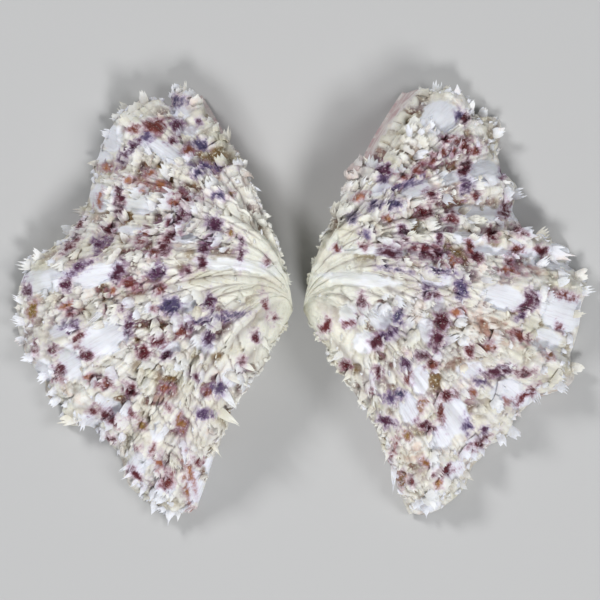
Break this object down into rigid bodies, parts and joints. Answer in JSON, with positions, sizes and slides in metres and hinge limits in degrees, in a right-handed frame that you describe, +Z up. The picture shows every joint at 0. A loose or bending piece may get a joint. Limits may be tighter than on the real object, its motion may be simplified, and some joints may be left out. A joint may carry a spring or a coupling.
{
  "type": "bear paw clam shell",
  "caption": "Clam shell opened into its left and right valves, side by side on their edges: hollow domes with broad scaly folds and wavy margins that interlock.",
  "frame": {"origin": "centre of the pair's bounding box, on the plane that the valves rest on", "axes": "+X from the left valve to the right valve, +Y towards the anterior ends, +Z up, away from the resting plane"},
  "size_m": [0.1067, 0.0798, 0.0232],
  "materials": {
    "shell": "matt to satin aragonite"
  },
  "bodies": {
    "root": {"left_valve": "shell", "right_valve": "shell"}
  },
  "joints": []
}
